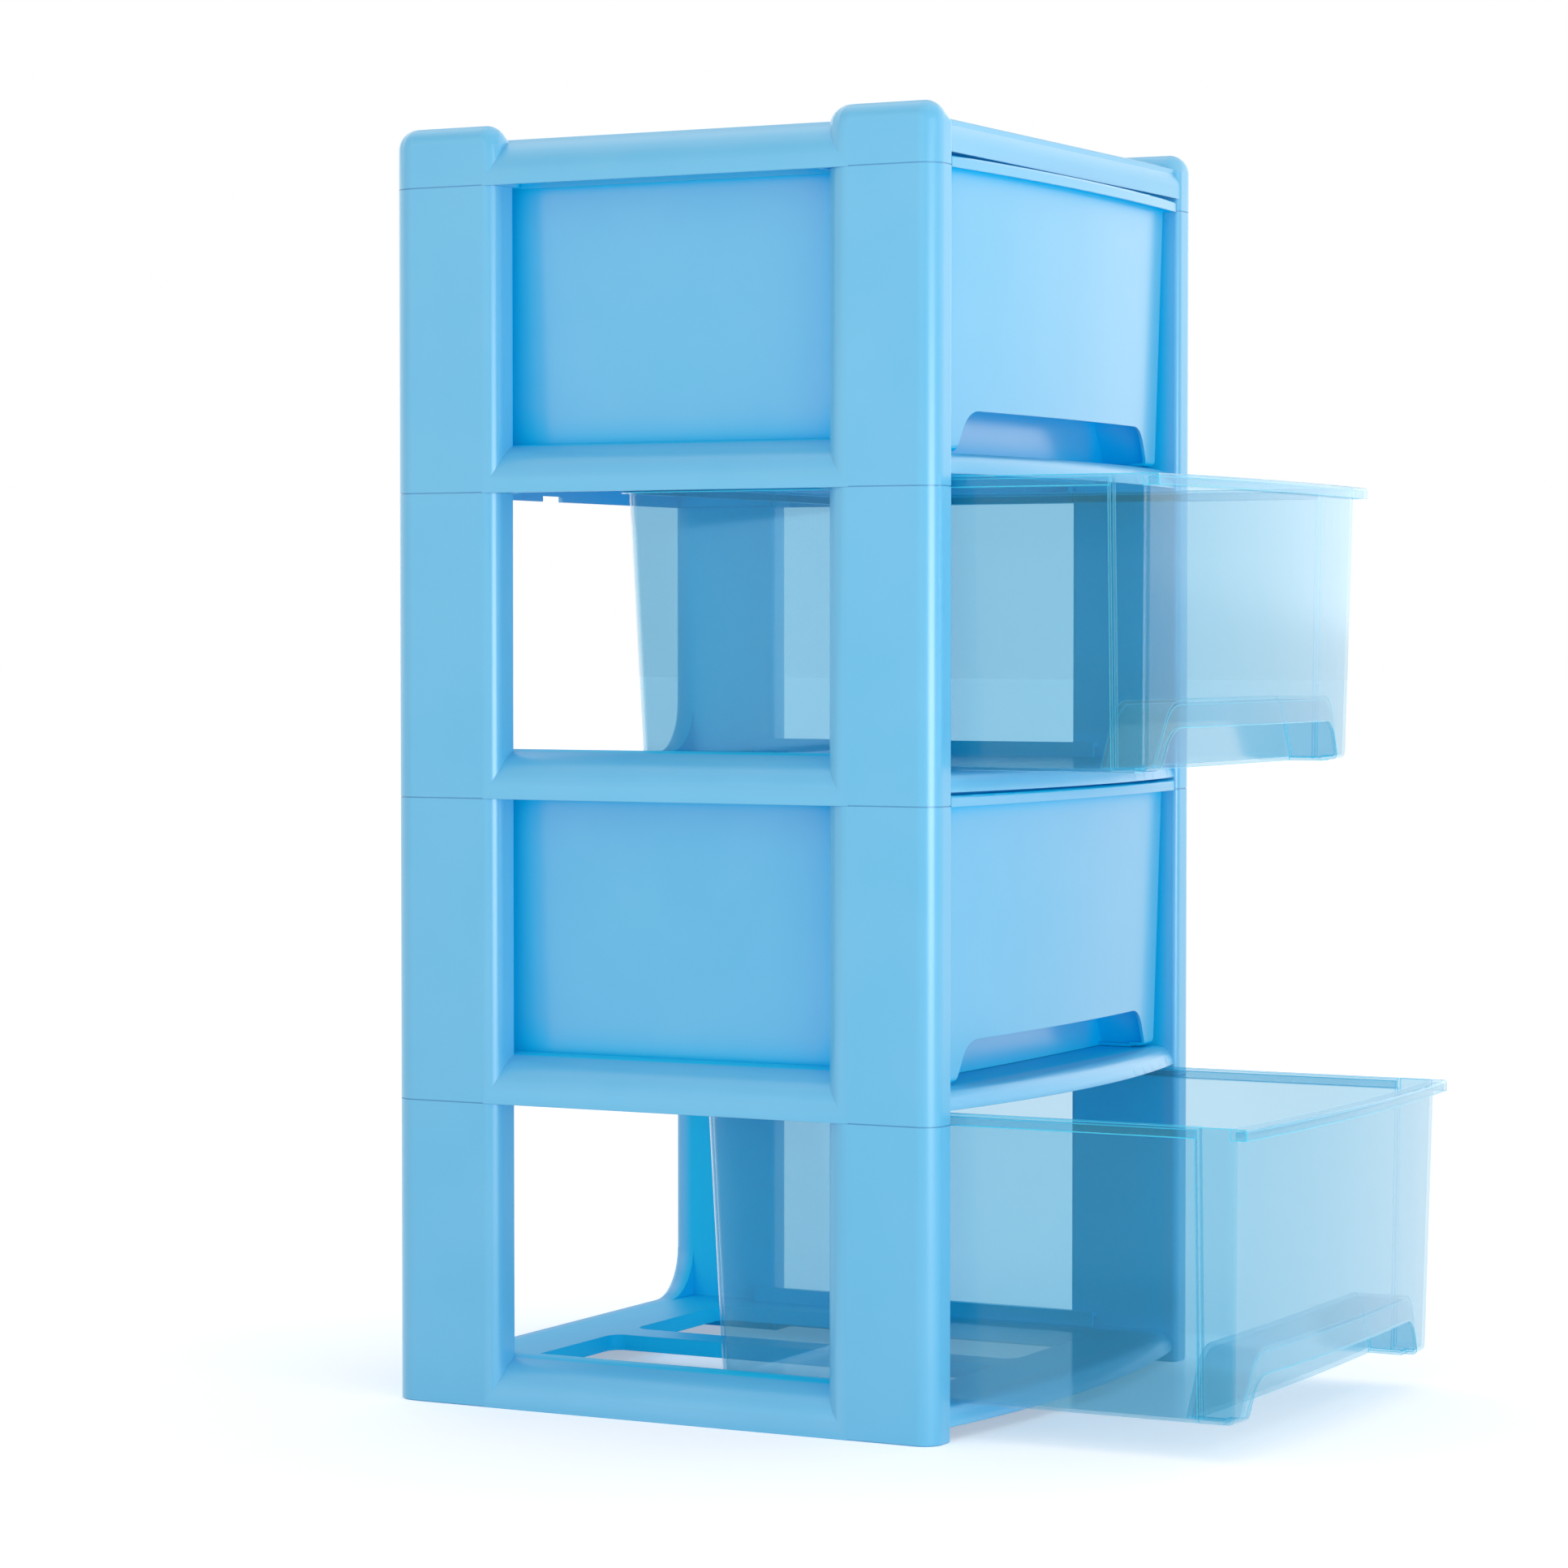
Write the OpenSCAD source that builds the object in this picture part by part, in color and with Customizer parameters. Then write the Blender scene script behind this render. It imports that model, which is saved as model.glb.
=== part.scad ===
// A free-standing drawer tower of moulded plastic. Four like tier frames plug into each other,
// a crown closes the top, and a tapered drawer slides on the floor of each tier.
// The origin is on the ground, in the middle of the four posts. The drawers pull out towards -Y.

/* [Tower] */
// Width over the posts
tower_w = 390; // [340:5:460]
// Depth over the posts
tower_d = 381; // [340:1:440]
// Height of one tier, from joint to joint
tier_h = 190; // [150:5:240]
// Wall of the frame mouldings
frame_wall = 3; // [2:0.25:4]

/* [Posts] */
// Width of a post, across the tower
post_w = 25; // [20:1:32]
// Depth of a post, front to back
post_d = 77.5; // [60:0.5:95]
// Radius of the outer corner of the front posts
post_front_r = 12.5; // [8:0.5:17]
// Radius of the outer corner of the back posts
post_back_r = 17.5; // [8:0.5:19]
// Radius of the front posts' outer edge beside the side window
window_front_r = 20; // [5:0.5:20]
// Radius of the back posts' outer edge beside the side window
window_back_r = 9.5; // [5:0.5:19]
// Radius of the posts' inner edge beside the side window
window_inner_r = 4.5; // [3:0.25:4.5]
// Radius of the front posts' inner front edge
inner_front_r = 4; // [3.5:0.5:8]
// Radius of the back posts' inner rear edge, and of the floor's back edge
inner_back_r = 6; // [4:0.5:7]
// Height of the shadow gap at the foot of a post
seam_h = 0.6; // [0.4:0.1:1]
// Depth of the shadow gap at the foot of a post
seam_in = 0.7; // [0.4:0.1:1]
// Height of the tongue that plugs into the moulding above
tongue_h = 10; // [6:1:13]
// Wall of the tongue
tongue_wall = 2; // [1.5:0.25:2.5]
// Clearance all round the tongue
tongue_gap = 0.3; // [0.2:0.05:0.5]
// Depth that a tongue leaves free in the crown's caps
socket_spare = 11; // [1:0.5:12]

/* [Rails] */
// Radius of the quarter-round side rail
side_rail_r = 30.5; // [28:0.5:36]
// How far the front rail bows out ahead of the post faces
front_rail_bow = 14; // [6:1:20]
// Where the ends of the front rail stand behind the post faces
front_rail_set = 3; // [1:0.5:5]
// Radius of the gusset in each back corner
gusset_r = 32; // [15:1:45]
// Depth of that gusset
gusset_d = 15; // [10:1:15]
// Rounding of the gusset's rear edge, a little sharper than the back edge's own
gusset_edge_r = 5.6; // [3:0.1:5.7]

/* [Floor] */
// Top of the floor above the foot of the tier
floor_top = 20.7; // [18:0.1:24]
// Thickness of the floor plate
floor_plate = 2.5; // [2:0.25:3]
// Depth of the flange round the floor openings
floor_flange = 10.2; // [6:0.1:10.6]
// Width of the floor beside the openings, from the side rail's crest
floor_side = 30; // [20:1:50]
// Width of the floor behind the openings
floor_back = 57; // [40:1:75]
// Width of the floor ahead of the openings
floor_front = 45; // [30:1:80]
// Width of the bar between the two openings
floor_bar = 27; // [16:1:50]
// Corner radius of the openings
opening_r = 10; // [5:1:18]
// Width of the notch under the back edge
notch_w = 25; // [10:1:60]
// Depth of that notch
notch_d = 3.7; // [2:0.1:6]

/* [Crown] */
// Height of the crown over its corner caps
crown_h = 38; // [36:0.5:48]
// Radius of the cap's top edges
cap_r = 12.5; // [8:0.5:12.5]
// Radius of the top edge of the crown's front and back rails
crown_rail_r = 15; // [8:0.5:18]
// Where the crown's front and back rails stand behind the post faces
crown_rail_set = 0.8; // [0.5:0.1:5]
// How far the top panel lies below the crest of the rails
panel_drop = 3; // [1:0.5:6]

/* [Drawer] */
// Wall of the drawers
drawer_wall = 2.2; // [1.6:0.1:3]
// Headroom of a drawer's rim under the floor flanges of the next tier
drawer_headroom = 4; // [1:0.25:10]
// Gap between the lip of a shut drawer and the front rail above it
lip_gap = 1.7; // [1:0.1:2.5]
// Running clearance under a drawer
drawer_rest_gap = 0.3; // [0.2:0.05:0.6]
// Clearance between a drawer and the posts
drawer_side_gap = 1.5; // [1:0.25:3]
// Clearance between the rear rim of a drawer and the back of the tower
drawer_back_gap = 11; // [8:1:40]
// Width of the rim that stands out from the side and rear walls
rim_w = 4.5; // [3:0.25:6]
// Height of the rim
rim_h = 7; // [4:0.5:10]
// Wall of the rim and the lip
rim_wall = 1.8; // [1.2:0.1:2.4]
// Draft of the side walls, in degrees
side_draft = 1.8; // [0.5:0.1:2.5]
// Draft of the rear wall, in degrees
rear_draft = 2.4; // [0.5:0.1:4]
// Backward lean of the front panel, in degrees
front_draft = 1.2; // [0:0.1:2.5]
// Radius of the upright corners at the rear
rear_corner_r = 14; // [8:1:24]
// Radius of the upright corners at the front
front_corner_r = 5; // [3:0.5:8]
// Radius along the bottom edges
bottom_r = 4; // [2:0.5:6]

/* [Drawer front] */
// Depth of the wings that flank the front
wing_d = 25; // [15:1:35]
// How far the bottom of the wings lies above the drawer's bottom
wing_lift = 1; // [0.5:0.5:3]
// Where the ends of the front panel stand behind the post faces
panel_set = 10; // [8:1:14]
// How far the middle of the front panel bows forwards
panel_bow = 8.5; // [4:0.5:12]
// How far the lip stands out from the front panel
lip_out = 8; // [5:0.5:10]
// Rounding of the lip's upper edge
lip_r = 2; // [1:0.25:3]
// Height of the arched cut-out above the drawer's bottom
arch_h = 26; // [18:1:40]
// Width of the cut-out along the drawer's bottom
arch_w = 286; // [180:2:290]
// How far each leg of the arch slants inwards
arch_slant = 14; // [5:1:25]
// Radius of the arch's upper corners
arch_r = 20; // [8:1:24]
// How far the finger pocket rises behind the panel, above the cut-out
pocket_rise = 14; // [8:1:25]
// How far the finger pocket spreads beside the cut-out
pocket_side = 6; // [3:1:8]
// Where the middle of the pocket's back wall stands behind the post faces
pocket_set = 42; // [36:1:60]
// How far the middle of that wall bows forwards
pocket_bow = 4; // [2:0.5:8]

/* [Pull-out] */
// How far the bottom drawer stands open
pull_1 = 190; // [0:5:280]
// How far the second drawer stands open
pull_2 = 0; // [0:5:280]
// How far the third drawer stands open
pull_3 = 134; // [0:2:280]
// How far the top drawer stands open
pull_4 = 0; // [0:5:280]

/* [Hidden] */
$fn = 96;
bow_fn = 720;
hull_fn = 32;
cut = 1;
sheet = 0.02;

frame_blue = [0.45, 0.75, 0.90];
drawer_blue = [0.52, 0.80, 0.95];
drawer_clear = [0.60, 0.83, 0.93, 0.45];

half_w = tower_w / 2;
half_d = tower_d / 2;
front_radii = [post_front_r, inner_front_r, window_inner_r, window_front_r];
back_radii = [post_back_r, inner_back_r, window_inner_r, window_back_r];
inner_w = tower_w - 2 * post_w;
half_inner = inner_w / 2;
crest_x = half_w - side_rail_r;
plate_z = floor_top - floor_plate;

// Levels above the joint between two tiers: the rim of the drawer below it, and the foot of the rail
// above that rim
rim_level = floor_top - floor_flange - drawer_headroom;
rail_foot = rim_level + lip_gap;
front_rail_r = floor_top - rail_foot;

// Radius of the arc that spans the inner width and stands out by a given bow
function bow_radius(bow) = (half_inner * half_inner + bow * bow) / (2 * bow);

// Sizes of the drawer at its rim, in the closed position
drawer_z = floor_top + drawer_rest_gap;
drawer_h = tier_h + rim_level - drawer_z;
rim_half = half_inner - drawer_side_gap;
box_half = rim_half - rim_w;
rear_y = half_d - drawer_back_gap - rim_w;
panel_y = panel_set - half_d;
wing_y = panel_y + wing_d;
panel_arc = bow_radius(panel_bow);
panel_arc_y = panel_arc - panel_bow + panel_y;
pocket_y = pocket_set - half_d;
pocket_arc = bow_radius(pocket_bow);
pocket_arc_y = pocket_arc + pocket_y;

// ---- flat shapes ----

// What the rounding of a corner at the origin takes off
module corner_bite(r) {
    difference() {
        translate([-cut, -cut]) square(r + cut);
        translate([r, r]) circle(r);
    }
}

// Rectangle from the origin with its own radius at each corner, anticlockwise; 0 leaves a corner sharp
module rounded_plan(w, d, radii) {
    corners = [[0, 0], [w, 0], [w, d], [0, d]];
    difference() {
        square([w, d]);
        for (i = [0:3])
            if (radii[i] > 0) translate(corners[i]) rotate(90 * i) corner_bite(radii[i]);
    }
}

// Outline of a post with corner radii $radii, from its outer corner at the origin, drawn in by inset
module post_plan(inset = 0) {
    translate([inset, inset])
        rounded_plan(post_w - 2 * inset, post_d - 2 * inset, [for (r = $radii) r - inset]);
}

// Quarter disc whose round side faces -X and up, standing on the X axis from the origin
module quarter_round(r) {
    intersection() {
        translate([r, 0]) circle(r);
        square(r);
    }
}

// ---- frame mouldings ----

// Puts a child, drawn for the front left post, at all four posts, with the radii of the front or back posts
module at_posts() {
    for (x = [0, 1], y = [0, 1]) {
        $radii = y == 0 ? front_radii : back_radii;
        mirror([x, 0, 0]) mirror([0, y, 0]) translate([-half_w, -half_d, 0]) children();
    }
}

// Turns a flat section, drawn across X and up, into a bar along Y between y0 and y1
module along_y(y0, y1) {
    translate([0, y1, 0]) rotate([90, 0, 0]) linear_extrude(y1 - y0) children();
}

// Turns a flat section, drawn across Y and up, into a bar along X between x0 and x1
module along_x(x0, x1) {
    translate([x0, 0, 0]) rotate([90, 0, 90]) linear_extrude(x1 - x0) children();
}

// Outside of a post, with the shadow gap at its foot
module post() {
    linear_extrude(2 * seam_h) post_plan(seam_in);
    translate([0, 0, seam_h]) linear_extrude(tier_h - seam_h) post_plan();
}

// What hollows a post or a cap from below
module post_hollow(top) {
    translate([0, 0, -cut]) linear_extrude(top + cut) post_plan(frame_wall);
}

// Tongue on top of a post, which plugs into the hollow of the moulding above
module tongue() {
    snug = frame_wall + tongue_gap;
    translate([0, 0, tier_h - frame_wall / 2]) difference() {
        linear_extrude(tongue_h + frame_wall / 2) post_plan(snug);
        translate([0, 0, frame_wall / 2]) linear_extrude(tongue_h + cut) post_plan(snug + tongue_wall);
    }
}

// Quarter-round rail along the foot of each side; leg is the depth of its inner leg
module side_rails(leg) {
    rail_y = half_d - post_d;
    for (side = [0, 1]) mirror([side, 0, 0]) translate([-half_w, 0, 0]) {
        along_y(-rail_y - window_front_r, rail_y + window_back_r) {
            difference() {
                quarter_round(side_rail_r);
                translate([frame_wall, -cut]) square([side_rail_r, cut]);
                translate([frame_wall, 0]) quarter_round(side_rail_r - frame_wall);
            }
            translate([side_rail_r - sheet, side_rail_r - leg]) square([frame_wall, leg]);
        }
        for (end = [-rail_y, rail_y - frame_wall]) along_y(end, end + frame_wall) intersection() {
            quarter_round(side_rail_r);
            union() {
                square([post_w, side_rail_r]);
                translate([0, side_rail_r - leg]) square([side_rail_r, leg]);
            }
        }
    }
}

// Bowed front rail of a tier: a quarter-round face that runs back into the floor plate, and sinks into
// the post walls at its ends
module front_rail() {
    arc = bow_radius(front_rail_set + front_rail_bow);
    intersection() {
        translate([0, arc - half_d - front_rail_bow, 0])
            rotate_extrude($fn = bow_fn) translate([arc, 0]) mirror([1, 0]) {
                translate([0, rail_foot]) difference() {
                    quarter_round(front_rail_r);
                    translate([frame_wall, 0]) quarter_round(front_rail_r - frame_wall);
                }
                translate([front_rail_r - sheet, plate_z]) square([floor_front, floor_plate]);
            }
        translate([-half_inner - frame_wall / 2, -half_d - tower_d, 0])
            cube([inner_w + frame_wall, tower_d + floor_front, tier_h]);
    }
}

// Outline of one floor opening, grown by a given amount
module opening_plan(grow = 0) {
    open_w = crest_x - floor_side - floor_bar / 2;
    open_d = tower_d - floor_back - floor_front;
    translate([floor_bar / 2 - grow, -half_d + floor_front - grow])
        rounded_plan(open_w + 2 * grow, open_d + 2 * grow, [for (i = [0:3]) opening_r + grow]);
}

// Floor plate with two flanged openings
module floor_pan() {
    flange_z = floor_top - floor_flange;
    difference() {
        union() {
            translate([-half_inner - frame_wall / 2, -half_d + floor_front / 2, plate_z])
                cube([inner_w + frame_wall, tower_d - floor_front / 2 - inner_back_r, floor_plate]);
            for (side = [0, 1]) mirror([side, 0, 0])
                translate([0, 0, flange_z]) linear_extrude(floor_flange) opening_plan(frame_wall);
        }
        for (side = [0, 1]) mirror([side, 0, 0])
            translate([0, 0, -cut]) linear_extrude(tier_h) opening_plan();
    }
}

// Back edge of the floor: a rounded turn down to the foot, notched in the middle
module back_edge() {
    turn = 2 * inner_back_r;
    difference() {
        along_x(-half_inner - frame_wall / 2, half_inner + frame_wall / 2)
            translate([half_d - turn, 0]) difference() {
                rounded_plan(turn, floor_top, [0, 0, inner_back_r, 0]);
                translate([-cut, -cut]) rounded_plan(turn - frame_wall + cut, plate_z + cut,
                    [0, 0, inner_back_r - frame_wall, 0]);
            }
        translate([-notch_w / 2, half_d - frame_wall - cut, -cut])
            cube([notch_w, frame_wall + 2 * cut, notch_d + cut]);
    }
}

// Concave gussets in the back corners; a flared cutter rounds their rear edge
module gussets() {
    reach = gusset_r + gusset_edge_r;
    for (side = [0, 1]) mirror([side, 0, 0]) difference() {
        translate([-half_inner - frame_wall + sheet, half_d - gusset_d, plate_z - frame_wall])
            cube([gusset_r + frame_wall, gusset_d, gusset_r + frame_wall + floor_plate]);
        translate([gusset_r - half_inner, half_d - gusset_d - cut, floor_top + gusset_r])
            rotate([-90, 0, 0]) rotate_extrude() {
                square([gusset_r, gusset_d + 2 * cut]);
                translate([0, gusset_d + cut - gusset_edge_r]) difference() {
                    square([reach, gusset_edge_r + cut]);
                    translate([reach, 0]) circle(gusset_edge_r);
                }
            }
    }
}

// One tier: posts with their tongues, rails and floor, moulded in one piece
module tier_frame(level) {
    color(frame_blue) translate([0, 0, level * tier_h]) {
        difference() {
            union() {
                at_posts() post();
                side_rails(side_rail_r - floor_top + floor_flange);
                front_rail();
                floor_pan();
                back_edge();
                gussets();
            }
            at_posts() post_hollow(tier_h - frame_wall);
        }
        at_posts() tongue();
    }
}

// One corner of a cap, from the corner at the origin inwards. A wide corner turns on in upright discs
// about the centre of its radius r; a tighter one closes with a ball, in line with the corner beside it
module cap_corner(r, beside) {
    shoulder = crown_h - seam_h - cap_r;
    translate([r, r, 0]) rotate(180) rotate_extrude(angle = 90, $fn = hull_fn) square([r, shoulder]);
    if (r > cap_r)
        for (turn = [0:20:60]) translate([r, r, shoulder]) rotate(180 + turn)
            translate([r - cap_r, 0, 0]) rotate([90, 0, 0]) cylinder(r = cap_r, h = sheet, $fn = 2 * hull_fn);
    if (r <= cap_r) translate([cap_r, max(cap_r, beside), shoulder]) sphere(cap_r, $fn = hull_fn);
}

// Outside of the corner cap over a post, rounded over on top
module cap() {
    linear_extrude(2 * seam_h) post_plan(seam_in);
    translate([0, 0, seam_h]) hull() {
        cap_corner($radii[0], $radii[1]);
        translate([post_w, 0, 0]) mirror([1, 0, 0]) cap_corner($radii[1], $radii[0]);
        translate([post_w, post_d, 0]) rotate(180) cap_corner($radii[2], $radii[3]);
        translate([0, post_d, 0]) mirror([0, 1, 0]) cap_corner($radii[3], $radii[2]);
    }
}

// Section of the crown's front or back rail, from its face towards +X: an upright foot, a rounded
// shoulder, and a leg down to the panel
module crown_section() {
    rise = side_rail_r - rail_foot;
    difference() {
        translate([0, rail_foot]) rounded_plan(crown_rail_r, rise, [0, 0, 0, crown_rail_r]);
        translate([frame_wall, rail_foot - cut])
            rounded_plan(crown_rail_r, rise - frame_wall + cut, [0, 0, 0, crown_rail_r - frame_wall]);
    }
    translate([crown_rail_r - sheet, side_rail_r - panel_drop - frame_wall])
        square([frame_wall, panel_drop + frame_wall]);
}

// The crown: four caps, rounded rails and a flat top panel, moulded in one piece
module crown() {
    panel_y0 = crown_rail_set + frame_wall;
    panel_z = side_rail_r - panel_drop - frame_wall;
    color(frame_blue) translate([0, 0, 4 * tier_h]) difference() {
        union() {
            at_posts() cap();
            side_rails(panel_drop + frame_wall);
            for (side = [0, 1]) mirror([0, side, 0])
                along_x(-half_inner - frame_wall / 2, half_inner + frame_wall / 2)
                    translate([crown_rail_set - half_d, 0]) crown_section();
            translate([-half_inner - frame_wall / 2, panel_y0 - half_d, panel_z])
                cube([inner_w + frame_wall, tower_d - 2 * panel_y0, frame_wall]);
        }
        at_posts() post_hollow(tongue_h + socket_spare);
    }
}

// ---- drawers ----

// Plan of the box, from inside the head to the rear; turn draws in the walls and their corners alike
module box_plan(turn, fall) {
    front = wing_y - wing_d / 2;
    side_in = turn + fall * tan(side_draft);
    rear_in = turn + fall * tan(rear_draft);
    corner_r = rear_corner_r - turn;
    translate([side_in - box_half, front])
        rounded_plan(2 * (box_half - side_in), rear_y - rear_in - front, [0, 0, corner_r, corner_r]);
}

// Plan of the head: the bowed front panel between its wings, which end rear_in ahead of the step
module head_plan(turn, fall, rear_in) {
    side_in = turn + fall * tan(side_draft);
    corner_r = front_corner_r - turn;
    intersection() {
        offset(r = corner_r) offset(delta = -corner_r) intersection() {
            translate([side_in - rim_half, panel_y - panel_bow])
                square([2 * (rim_half - side_in), 2 * wing_d]);
            translate([0, panel_arc_y + fall * tan(front_draft)]) circle(panel_arc - turn, $fn = bow_fn);
        }
        translate([-rim_half, panel_y - panel_bow - cut])
            square([2 * rim_half, panel_bow + cut + wing_d - rear_in]);
    }
}

// Tapered box, inset from its outer faces, with a rounded turn along its bottom edges
module box_body(inset, foot, top) {
    edge_r = max(bottom_r - inset, inset / 4);
    hull() {
        for (a = [0:30:90]) translate([0, 0, foot + edge_r * (1 - cos(a))]) linear_extrude(sheet)
            box_plan(inset + edge_r * (1 - sin(a)), drawer_h - foot, $fn = hull_fn);
        translate([0, 0, top - sheet]) linear_extrude(sheet) box_plan(inset, drawer_h - top, $fn = hull_fn);
    }
}

// Tapered head with its wings, inset from its outer faces
module head_body(inset, foot, top) {
    edge_r = max(bottom_r - inset, inset / 4);
    hull() {
        for (a = [0:30:90]) translate([0, 0, foot + edge_r * (1 - cos(a))]) linear_extrude(sheet)
            head_plan(inset + edge_r * (1 - sin(a)), drawer_h - foot, inset, $fn = hull_fn);
        translate([0, 0, top - sheet]) linear_extrude(sheet)
            head_plan(inset, drawer_h - top, inset, $fn = hull_fn);
    }
}

// Rim along the sides and the rear: a flat top and a turned-down edge
module rim() {
    front = wing_y - drawer_wall;
    outer_r = rear_corner_r + rim_w;
    groove_w = rim_w - rim_wall;
    translate([0, 0, drawer_h - rim_h]) difference() {
        linear_extrude(rim_h) translate([-rim_half, front])
            rounded_plan(2 * rim_half, rear_y + rim_w - front, [0, 0, outer_r, outer_r]);
        translate([0, 0, -cut]) linear_extrude(rim_h - rim_wall + cut) difference() {
            translate([rim_wall - rim_half, wing_y]) rounded_plan(2 * (rim_half - rim_wall),
                rear_y + groove_w - wing_y, [0, 0, outer_r - rim_wall, outer_r - rim_wall]);
            translate([-box_half, wing_y - cut])
                rounded_plan(2 * box_half, rear_y + cut - wing_y, [0, 0, rear_corner_r, rear_corner_r]);
        }
    }
}

// Lip along the front: it follows the bow of the panel, and is hollow below between closed ends
module lip() {
    lip_arc = panel_arc + lip_out;
    difference() {
        bowed_strip(rim_half) translate([panel_arc - drawer_wall, drawer_h - rim_h])
            rounded_plan(lip_out + drawer_wall, rim_h, [0, 0, lip_r, 0]);
        bowed_strip(rim_half - rim_wall) translate([panel_arc, drawer_h - rim_h - cut])
            square([lip_out - rim_wall, rim_h - rim_wall + cut]);
    }
}

// A section swept along the bow of the front panel, as far as half_len to each side
module bowed_strip(half_len) {
    intersection() {
        translate([0, panel_arc_y, 0]) rotate_extrude($fn = bow_fn) children();
        translate([-half_len, -tower_d, 0]) cube([2 * half_len, tower_d, 2 * drawer_h]);
    }
}

// Outline of the arch seen from the front, spread at the sides and raised
module arch(spread, rise) {
    low = -2 * arch_r;
    high = arch_h + rise;
    lean = arch_slant / arch_h;
    corners = [[-1, low], [1, low], [1, high], [-1, high]];
    offset(r = arch_r, $fn = hull_fn) offset(delta = -arch_r)
        polygon([for (p = corners) [p[0] * (arch_w / 2 + spread - lean * p[1]), p[1]]]);
}

// Space ahead of the finger pocket's bowed back wall, inside the arch, grown by a wall
module pocket(spread, rise, grow) {
    difference() {
        along_y(panel_y - panel_bow - lip_out, pocket_y + pocket_bow + drawer_wall)
            arch(spread + grow, rise + grow);
        translate([0, pocket_arc_y, -2 * drawer_h])
            cylinder(r = pocket_arc - grow, h = 4 * drawer_h, $fn = bow_fn);
    }
}

// One drawer, moulded in one piece, where it stands when it is shut in the tier at the ground
module drawer_shape() {
    difference() {
        union() {
            box_body(0, 0, drawer_h);
            head_body(0, wing_lift, drawer_h);
            rim();
            lip();
        }
        difference() {
            union() {
                box_body(drawer_wall, drawer_wall, drawer_h + cut);
                head_body(drawer_wall, wing_lift + drawer_wall, drawer_h + cut);
            }
            difference() {
                pocket(pocket_side, pocket_rise, drawer_wall);
                pocket(pocket_side, pocket_rise, 0);
            }
        }
        pocket(0, 0, 0);
    }
}

module drawer(level, pull) {
    translate([0, -pull, level * tier_h + drawer_z]) drawer_shape();
}

tier_frame(0);  // tier_frame_1
tier_frame(1);  // tier_frame_2
tier_frame(2);  // tier_frame_3
tier_frame(3);  // tier_frame_4
crown();
color(drawer_clear) drawer(0, pull_1);  // drawer_1
color(drawer_blue) drawer(1, pull_2);  // drawer_2
color(drawer_clear) drawer(2, pull_3);  // drawer_3
color(drawer_blue) drawer(3, pull_4);  // drawer_4
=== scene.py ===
"""Looks of the plastic drawer tower: satin blue frames, glossy blue and clear tinted drawers."""

import math

import bmesh
import bpy
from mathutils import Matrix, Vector


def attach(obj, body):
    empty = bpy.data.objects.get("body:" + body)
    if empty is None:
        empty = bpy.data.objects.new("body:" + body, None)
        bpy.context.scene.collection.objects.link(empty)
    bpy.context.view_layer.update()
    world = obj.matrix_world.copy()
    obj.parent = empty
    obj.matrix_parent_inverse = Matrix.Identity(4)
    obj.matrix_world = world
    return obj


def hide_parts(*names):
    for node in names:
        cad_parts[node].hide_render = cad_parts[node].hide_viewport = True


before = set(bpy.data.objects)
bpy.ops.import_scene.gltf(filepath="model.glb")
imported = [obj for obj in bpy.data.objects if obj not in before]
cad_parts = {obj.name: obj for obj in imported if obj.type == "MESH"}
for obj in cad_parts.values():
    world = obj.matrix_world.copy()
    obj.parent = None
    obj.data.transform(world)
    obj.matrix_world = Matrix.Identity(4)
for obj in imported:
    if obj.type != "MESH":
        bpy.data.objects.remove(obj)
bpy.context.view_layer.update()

MM = 0.001
SKY = 0.55
FLOOR_GLOW = 0.345
FRAMES = ["tier_frame_1", "tier_frame_2", "tier_frame_3", "tier_frame_4", "crown"]
OPAQUE = ["drawer_2", "drawer_4"]
CLEAR = ["drawer_1", "drawer_3"]
BODY = {"drawer_%d" % n: "drawer_%d" % n for n in range(1, 5)}

WELD = 0.004 * MM
FRAME_CREASE_DEG = 24.0
DRAWER_CREASE_DEG = 28.0

# Colours (linear)
FRAME_BLUE = (0.122, 0.505, 0.795)
DRAWER_BLUE = (0.110, 0.505, 0.805)
# Painted shade: saturated blue laid in the narrow gaps round a drawer, where shade falls
PAINTED_GAP_SHADE = (0.000, 0.550, 0.880)
# Painted shade: saturated blue of shade and bounced light laid inside the tower, between the posts
PAINTED_HOLLOW_SHADE = (0.010, 0.570, 0.870)
LEAK = (0.030, 0.840, 0.960)
CLEAR_TINT = (0.750, 0.866, 0.922)
CLEAR_LEAK = (0.860, 0.950, 0.985)
CLEAR_BODY = (0.050, 0.740, 1.000)
WHITE = (1.0, 1.0, 1.0)
DEEPER = (0.94, 0.990, 0.995)
PALER = (1.06, 1.010, 1.005)

# Surface marks: how many per metre, and what each adds to roughness and to height in mm
GRAIN_PER_M = 2600.0
SWELL_PER_M = 16.0
RUBS_PER_M = 45.0
GRAIN_ROUGH, RUBS_ROUGH, SWELL_ROUGH = 0.04, 0.03, 0.03
GRAIN_MM, SWELL_MM = 0.004, 0.02
SEED_STEP = (0.37, 0.61, 0.23)

# Where painted shade is laid inside the tower, from its edge (m) to where it counts in full
HOLLOW_X = (0.1750, 0.1715)
HOLLOW_Y = (0.186, 0.176)
HOLLOW_Z = (0.766, 0.762)

# Opaque plastic
BEVEL_SAMPLES = 6
# Painted shade in the narrow gaps round a drawer: AO samples, reach and the openness over which it
# fades in
GAP_SAMPLES = 8
GAP_REACH = 0.025
GAP_OPENNESS = (0.38, 0.95)
LEVEL = (0.80, 0.98)
BASE_IOR = 1.49
BASE_SHINE = 0.12
BASE_EXTRA_ROUGH = 0.15
COAT_IOR = 1.62
# How much of the coat is taken away in the painted shade, and on level tops
COAT_LOST_IN_PAINTED_SHADE = 0.98
COAT_LOST_ON_TOPS = 0.85

# Clear plastic
HAZE_SHARE = 0.08
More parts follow.
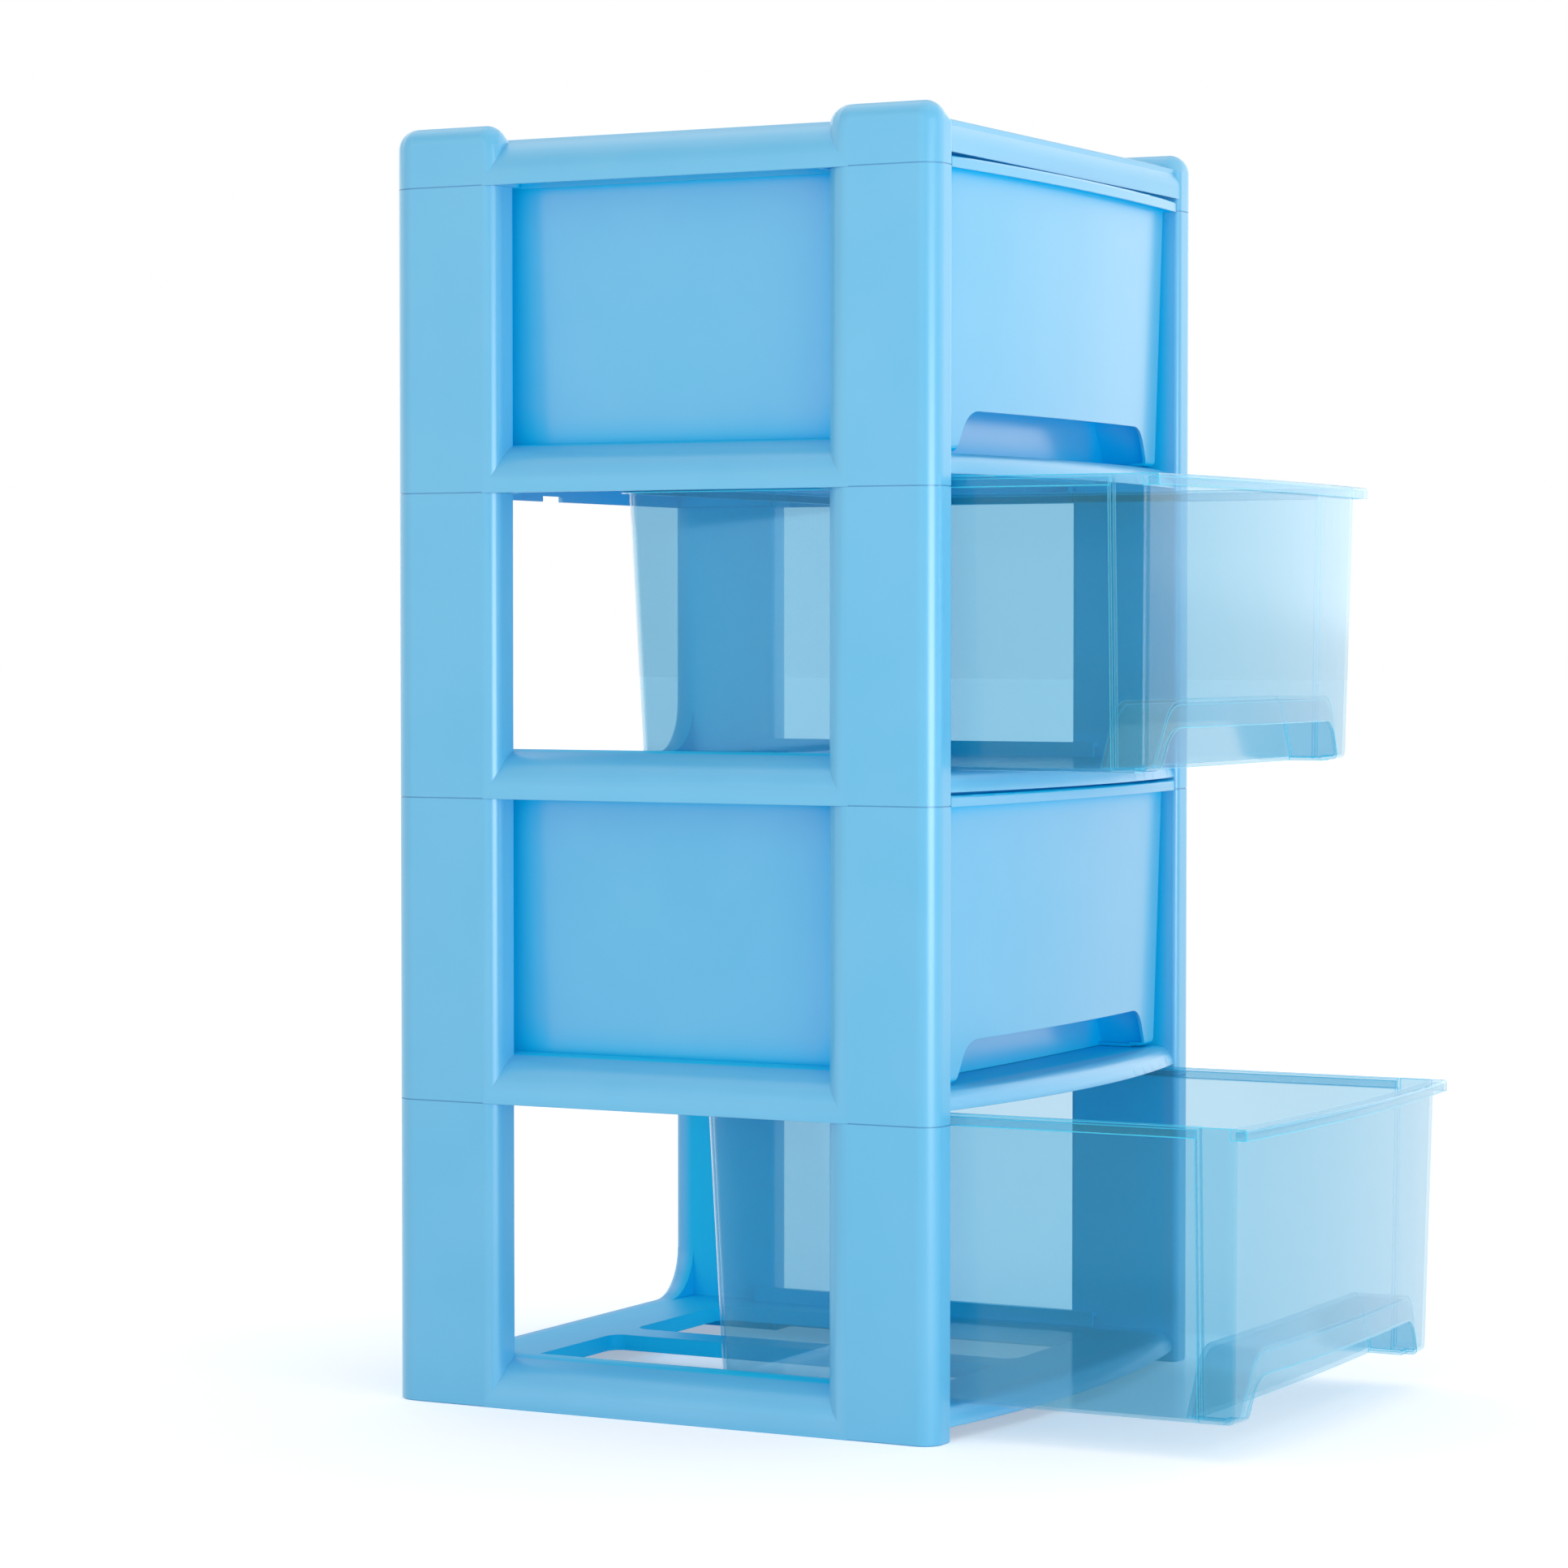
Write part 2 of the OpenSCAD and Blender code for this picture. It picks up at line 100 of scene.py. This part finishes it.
# Painted edge light: how much of the lit body colour the edges take, how wide it reaches, and over
# what turn of the surface
PAINTED_EDGE_LIGHT = 0.88
EDGE_REACH = 1.4
EDGE_SAMPLES = 8
EDGE_TURN = (0.01, 0.16)
HAZE_IOR = 1.5
HAZE_ROUGH = 0.13
GLOSS_FACING_POWER = 4.0
GLOSS_GRAZING = 0.95
GLOSS_HEAD_ON = 0.012
GLOSS_LOST_ON_TOPS = 0.75
GLOSS_ROUGH = 0.10


# ---- node graphs ----


class Wire:
    """An output socket that ordinary arithmetic can be written with."""

    def __init__(self, graph, socket):
        self.graph = graph
        self.socket = socket

    def __add__(self, other):
        return self.graph.maths("ADD", self, other)

    def __sub__(self, other):
        return self.graph.maths("SUBTRACT", self, other)

    def __rsub__(self, other):
        return self.graph.maths("SUBTRACT", other, self)

    def __mul__(self, other):
        return self.graph.maths("MULTIPLY", self, other)

    def __pow__(self, other):
        return self.graph.maths("POWER", self, other)

    def __abs__(self):
        return self.graph.maths("ABSOLUTE", self)

    def ramp(self, low, high):
        """Rises smoothly from 0 at low to 1 at high."""
        span = {"Value": self, "From Min": low, "From Max": high}
        return self.graph.node("MapRange", dict(interpolation_type="SMOOTHSTEP"), span)


class Graph:
    """Builds one node tree."""

    def __init__(self, tree):
        self.tree = tree
        tree.nodes.clear()

    def node(self, kind, settings, sockets, out=0):
        """Adds a node: its settings first, then a value or a wire for each socket named."""
        node = self.tree.nodes.new("ShaderNode" + kind)
        for key, value in settings.items():
            setattr(node, key, value)
        for key, value in sockets.items():
            socket = node.inputs[key]
            if isinstance(value, Wire):
                self.tree.links.new(value.socket, socket)
            elif socket.type == "RGBA":
                socket.default_value = (*value, 1.0)
            else:
                socket.default_value = value
        return Wire(self, node.outputs[out]) if node.outputs else None

    def maths(self, operation, *values):
        return self.node("Math", dict(operation=operation), dict(enumerate(values)))

    def mix_colour(self, factor, first, second):
        return self.node("Mix", dict(data_type="RGBA"), {0: factor, 6: first, 7: second}, 2)

    def mix_shader(self, factor, first, second):
        return self.node("MixShader", {}, {0: factor, 1: first, 2: second})

    def noise(self, place, scale, detail=2.0, roughness=0.5):
        sockets = dict(Vector=place, Scale=scale, Detail=detail, Roughness=roughness)
        return self.node("TexNoise", {}, sockets)


def new_material(name):
    material = bpy.data.materials.new(name)
    material.use_nodes = True
    return material, Graph(material.node_tree)


def surface_marks(g, seed):
    """Marks and unevenness of the moulding: what they add to roughness, height in mm, swell."""
    place = g.node("TexCoord", {}, {}, "Object")
    location = tuple(seed * step for step in SEED_STEP)
    shift = g.node("Mapping", {}, dict(Vector=place, Location=location))
    grain = g.noise(shift, GRAIN_PER_M)
    swell = g.noise(shift, SWELL_PER_M)
    rubs = g.noise(shift, RUBS_PER_M, 5.0, 0.7).ramp(0.55, 0.80)
    marks = (grain - 0.5) * GRAIN_ROUGH + rubs * RUBS_ROUGH + (swell - 0.5) * SWELL_ROUGH
    height = (grain - 0.5) * GRAIN_MM + (swell - 0.5) * SWELL_MM
    return marks, height, swell


def lets_light_through(g, shader, colour):
    """Thin plastic lets part of the light through to what lies behind it, in its own colour."""
    shadow = g.node("LightPath", {}, {}, "Is Shadow Ray")
    return g.mix_shader(shadow, shader, g.node("BsdfTransparent", {}, dict(Color=colour)))


def painted_shade_inside_tower(g):
    """Mask of painted shade: 0 on what is seen from outside, 1 between the posts and below the
    crown.
    """
    place = g.node("TexCoord", {}, {}, "Object")
    x, y, z = (g.node("SeparateXYZ", {}, dict(Vector=place), axis) for axis in "XYZ")
    return abs(x).ramp(*HOLLOW_X) * abs(y).ramp(*HOLLOW_Y) * z.ramp(*HOLLOW_Z)


def painted_shade_in_gaps(g):
    """Mask of painted shade: 0 in the open, 1 in the narrow gaps round a drawer."""
    reach = dict(Distance=GAP_REACH)
    free = g.node("AmbientOcclusion", dict(samples=GAP_SAMPLES), reach, "AO")
    return 1.0 - free.ramp(*GAP_OPENNESS)


def facing_up(g):
    """1 on level tops, which are made to shine less than upright faces."""
    normal = g.node("NewGeometry", {}, {}, "Normal")
    return g.node("SeparateXYZ", {}, dict(Vector=normal), "Z").ramp(*LEVEL)


def blue_plastic(name, colour, rough, edge_r, seed, shade, painted_shade_colour):
    """Satin or glossy plastic with fine grain, softened edges and a coat that shines.

    Where the shade mask is 1 the colour turns to the given shade colour, a painted shade, and the
    coat is nearly gone.
    """
    material, g = new_material(name)
    marks, height, swell = surface_marks(g, seed)
    soft = g.node("Bevel", dict(samples=BEVEL_SAMPLES), dict(Radius=edge_r * MM))
    bump = g.node("Bump", {}, dict(Strength=1.0, Distance=MM, Height=height, Normal=soft))
    deep = tuple(c * k for c, k in zip(colour, DEEPER))
    pale = tuple(c * k for c, k in zip(colour, PALER))
    even = g.mix_colour(swell.ramp(0.3, 0.7), deep, pale)
    # Painted shade: where the mask is 1 the colour turns to the shade colour and the coat, the
    # gloss, is taken away
    painted_shade_mask = shade(g)
    coat = (1.0 - painted_shade_mask * COAT_LOST_IN_PAINTED_SHADE) * (1.0 - facing_up(g) * COAT_LOST_ON_TOPS)
    skin = g.node(
        "BsdfPrincipled",
        {},
        {
            "Base Color": g.mix_colour(painted_shade_mask, even, painted_shade_colour),
            "Roughness": marks + (rough + BASE_EXTRA_ROUGH),
            "IOR": BASE_IOR,
            "Specular IOR Level": BASE_SHINE,
            "Coat Weight": coat,
            "Coat Roughness": rough,
            "Coat IOR": COAT_IOR,
            "Normal": bump,
        },
    )
    g.node("OutputMaterial", {}, dict(Surface=lets_light_through(g, skin, LEAK)))
    return material


def clear_plastic(name, tint, body, edge_r, seed):
    """Clear tinted plastic: each skin filters what is behind it, and its edges turn to the lit
    body colour, a painted edge light for the light that gathers there.
    """
    material, g = new_material(name)
    marks, height, swell = surface_marks(g, seed)
    soft = g.node("Bevel", dict(samples=BEVEL_SAMPLES), dict(Radius=edge_r * MM))
    wide = g.node("Bevel", dict(samples=EDGE_SAMPLES), dict(Radius=EDGE_REACH * MM))
    bump = g.node("Bump", {}, dict(Strength=0.6, Distance=MM, Height=height, Normal=soft))
    flat = g.node("NewGeometry", {}, {}, "True Normal")
    turn = g.node("VectorMath", dict(operation="DOT_PRODUCT"), {0: wide, 1: flat}, "Value")
    # Painted edge light: 1 along edges, where the clear skin turns to the lit body colour
    edge = (1.0 - abs(turn)).ramp(*EDGE_TURN)
    facing = g.node("LayerWeight", {}, dict(Blend=0.5, Normal=bump), "Facing")
    gloss = facing**GLOSS_FACING_POWER * GLOSS_GRAZING + GLOSS_HEAD_ON
    gloss = gloss * (1.0 - facing_up(g) * GLOSS_LOST_ON_TOPS)
    through = g.node("BsdfTransparent", {}, dict(Color=tint))
    rough = marks * 0.6 + HAZE_ROUGH
    sockets = {"Base Color": body, "Roughness": rough, "IOR": HAZE_IOR, "Normal": bump}
    haze = g.node("BsdfPrincipled", {}, sockets)
    shine = g.node("BsdfAnisotropic", {}, dict(Color=WHITE, Roughness=GLOSS_ROUGH, Normal=bump))
    skin = g.mix_shader(edge * PAINTED_EDGE_LIGHT + HAZE_SHARE + (swell - 0.5) * 0.01, through, haze)
    whole = g.mix_shader(gloss, skin, shine)
    g.node("OutputMaterial", {}, dict(Surface=lets_light_through(g, whole, CLEAR_LEAK)))
    return material


frame_plastic = blue_plastic(
    "frame_plastic",
    FRAME_BLUE,
    rough=0.28,
    edge_r=0.7,
    seed=1,
    shade=painted_shade_inside_tower,
    painted_shade_colour=PAINTED_HOLLOW_SHADE,
)
drawer_plastic = blue_plastic(
    "drawer_plastic",
    DRAWER_BLUE,
    rough=0.20,
    edge_r=0.6,
    seed=2,
    shade=painted_shade_in_gaps,
    painted_shade_colour=PAINTED_GAP_SHADE,
)
clear = clear_plastic("clear_plastic", CLEAR_TINT, CLEAR_BODY, edge_r=0.6, seed=3)


# ---- the tower ----


def merged_copy(name, material, sharp_deg):
    """A welded copy of a CAD node that is smooth over its curves and stands for the node."""
    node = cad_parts[name]
    mesh = node.data.copy()
    mesh.name = "skin_" + name
    piece = bpy.data.objects.new("skin_" + name, mesh)
    bpy.context.scene.collection.objects.link(piece)
    bm = bmesh.new()
    bm.from_mesh(mesh)
    bmesh.ops.remove_doubles(bm, verts=bm.verts, dist=WELD)
    bmesh.ops.dissolve_degenerate(bm, edges=bm.edges, dist=WELD)
    limit = math.radians(sharp_deg)
    for face in bm.faces:
        face.smooth = True
    for edge in bm.edges:
        edge.smooth = len(edge.link_faces) == 2 and edge.calc_face_angle(math.pi) < limit
    bm.to_mesh(mesh)
    bm.free()
    for key in ("custom_normal", "sharp_face"):
        old = mesh.attributes.get(key)
        if old is not None:
            mesh.attributes.remove(old)
    mesh.materials.clear()
    mesh.materials.append(material)
    weight = piece.modifiers.new("weight", "WEIGHTED_NORMAL")
    weight.mode = "FACE_AREA"
    weight.keep_sharp = True
    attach(piece, BODY.get(name, "tower"))
    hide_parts(name)


for name in FRAMES:
    merged_copy(name, frame_plastic, FRAME_CREASE_DEG)
for name in OPAQUE:
    merged_copy(name, drawer_plastic, DRAWER_CREASE_DEG)
for name in CLEAR:
    merged_copy(name, clear, DRAWER_CREASE_DEG)


# ---- studio ----


def seen_directly(g):
    """1 for what the camera sees, also in a reflection or through clear plastic."""
    kinds = ("Camera", "Glossy", "Transmission")
    rays = [g.node("LightPath", {}, {}, "Is %s Ray" % kind) for kind in kinds]
    return g.maths("MINIMUM", rays[0] + rays[1] + rays[2], 1.0)


def floor_material():
    material, g = new_material("pale_floor")
    base = g.node("BsdfDiffuse", {}, dict(Color=(0.86, 0.865, 0.87)))
    glow = g.node("Emission", {}, dict(Color=WHITE, Strength=seen_directly(g) * FLOOR_GLOW))
    both = g.node("AddShader", {}, {0: base, 1: glow})
    g.node("OutputMaterial", {}, dict(Surface=both))
    return material


def plane(name, half, z):
    mesh = bpy.data.meshes.new(name)
    corners = [(-half, -half, z), (half, -half, z), (half, half, z), (-half, half, z)]
    mesh.from_pydata(corners, [], [(0, 1, 2, 3)])
    obj = bpy.data.objects.new(name, mesh)
    bpy.context.scene.collection.objects.link(obj)
    return obj


floor = plane("floor", 40.0, 0.0)
floor.data.materials.append(floor_material())

world = bpy.data.worlds.new("studio")
bpy.context.scene.world = world
world.use_nodes = True
g = Graph(world.node_tree)
strength = seen_directly(g) * (1.0 - SKY) + SKY
sky = g.node("Background", {}, dict(Color=WHITE, Strength=strength))
g.node("OutputWorld", {}, dict(Surface=sky))


def soft_sun(name, towards, strength, spread_deg):
    """A wide soft light from a direction, which lights the floor evenly as far as the eye sees."""
    lamp = bpy.data.lights.new(name, "SUN")
    lamp.energy = strength
    lamp.angle = math.radians(spread_deg)
    obj = bpy.data.objects.new(name, lamp)
    obj.rotation_euler = Vector(towards).to_track_quat("Z", "Y").to_euler()
    bpy.context.scene.collection.objects.link(obj)


def softbox(name, towards, distance, height, width, tall, watts):
    """An upright lamp beside the tower, low enough not to glare in its level tops."""
    lamp = bpy.data.lights.new(name, "AREA")
    lamp.shape = "RECTANGLE"
    lamp.size = width
    lamp.size_y = tall
    lamp.energy = watts
    obj = bpy.data.objects.new(name, lamp)
    level = Vector((*towards, 0.0)).normalized()
    obj.location = level * distance + Vector((0.0, 0.0, height))
    obj.rotation_euler = level.to_track_quat("Z", "Y").to_euler()
    obj.visible_camera = False
    bpy.context.scene.collection.objects.link(obj)


softbox("front", (-0.50, -0.86), distance=2.5, height=0.42, width=1.35, tall=0.62, watts=20.0)
soft_sun("right", (0.83, -0.47, 0.12), 0.72, 78.0)
soft_sun("left", (-0.88, 0.30, 0.15), 0.60, 70.0)
soft_sun("back", (0.50, 0.85, 0.25), 0.45, 90.0)
soft_sun("top", (0.10, 0.00, 1.00), 0.50, 70.0)

# ---- camera ----

lens = bpy.data.cameras.new("camera")
lens.sensor_width = 36.0
lens.lens = 106.11
lens.clip_end = 200.0
camera = bpy.data.objects.new("camera", lens)
camera.location = (-2.6437, -1.3899, 0.4845)
camera.rotation_euler = (math.radians(88.102), 0.0, math.radians(-62.037))
bpy.context.scene.collection.objects.link(camera)
bpy.context.scene.camera = camera
bpy.context.scene.view_settings.view_transform = "Standard"
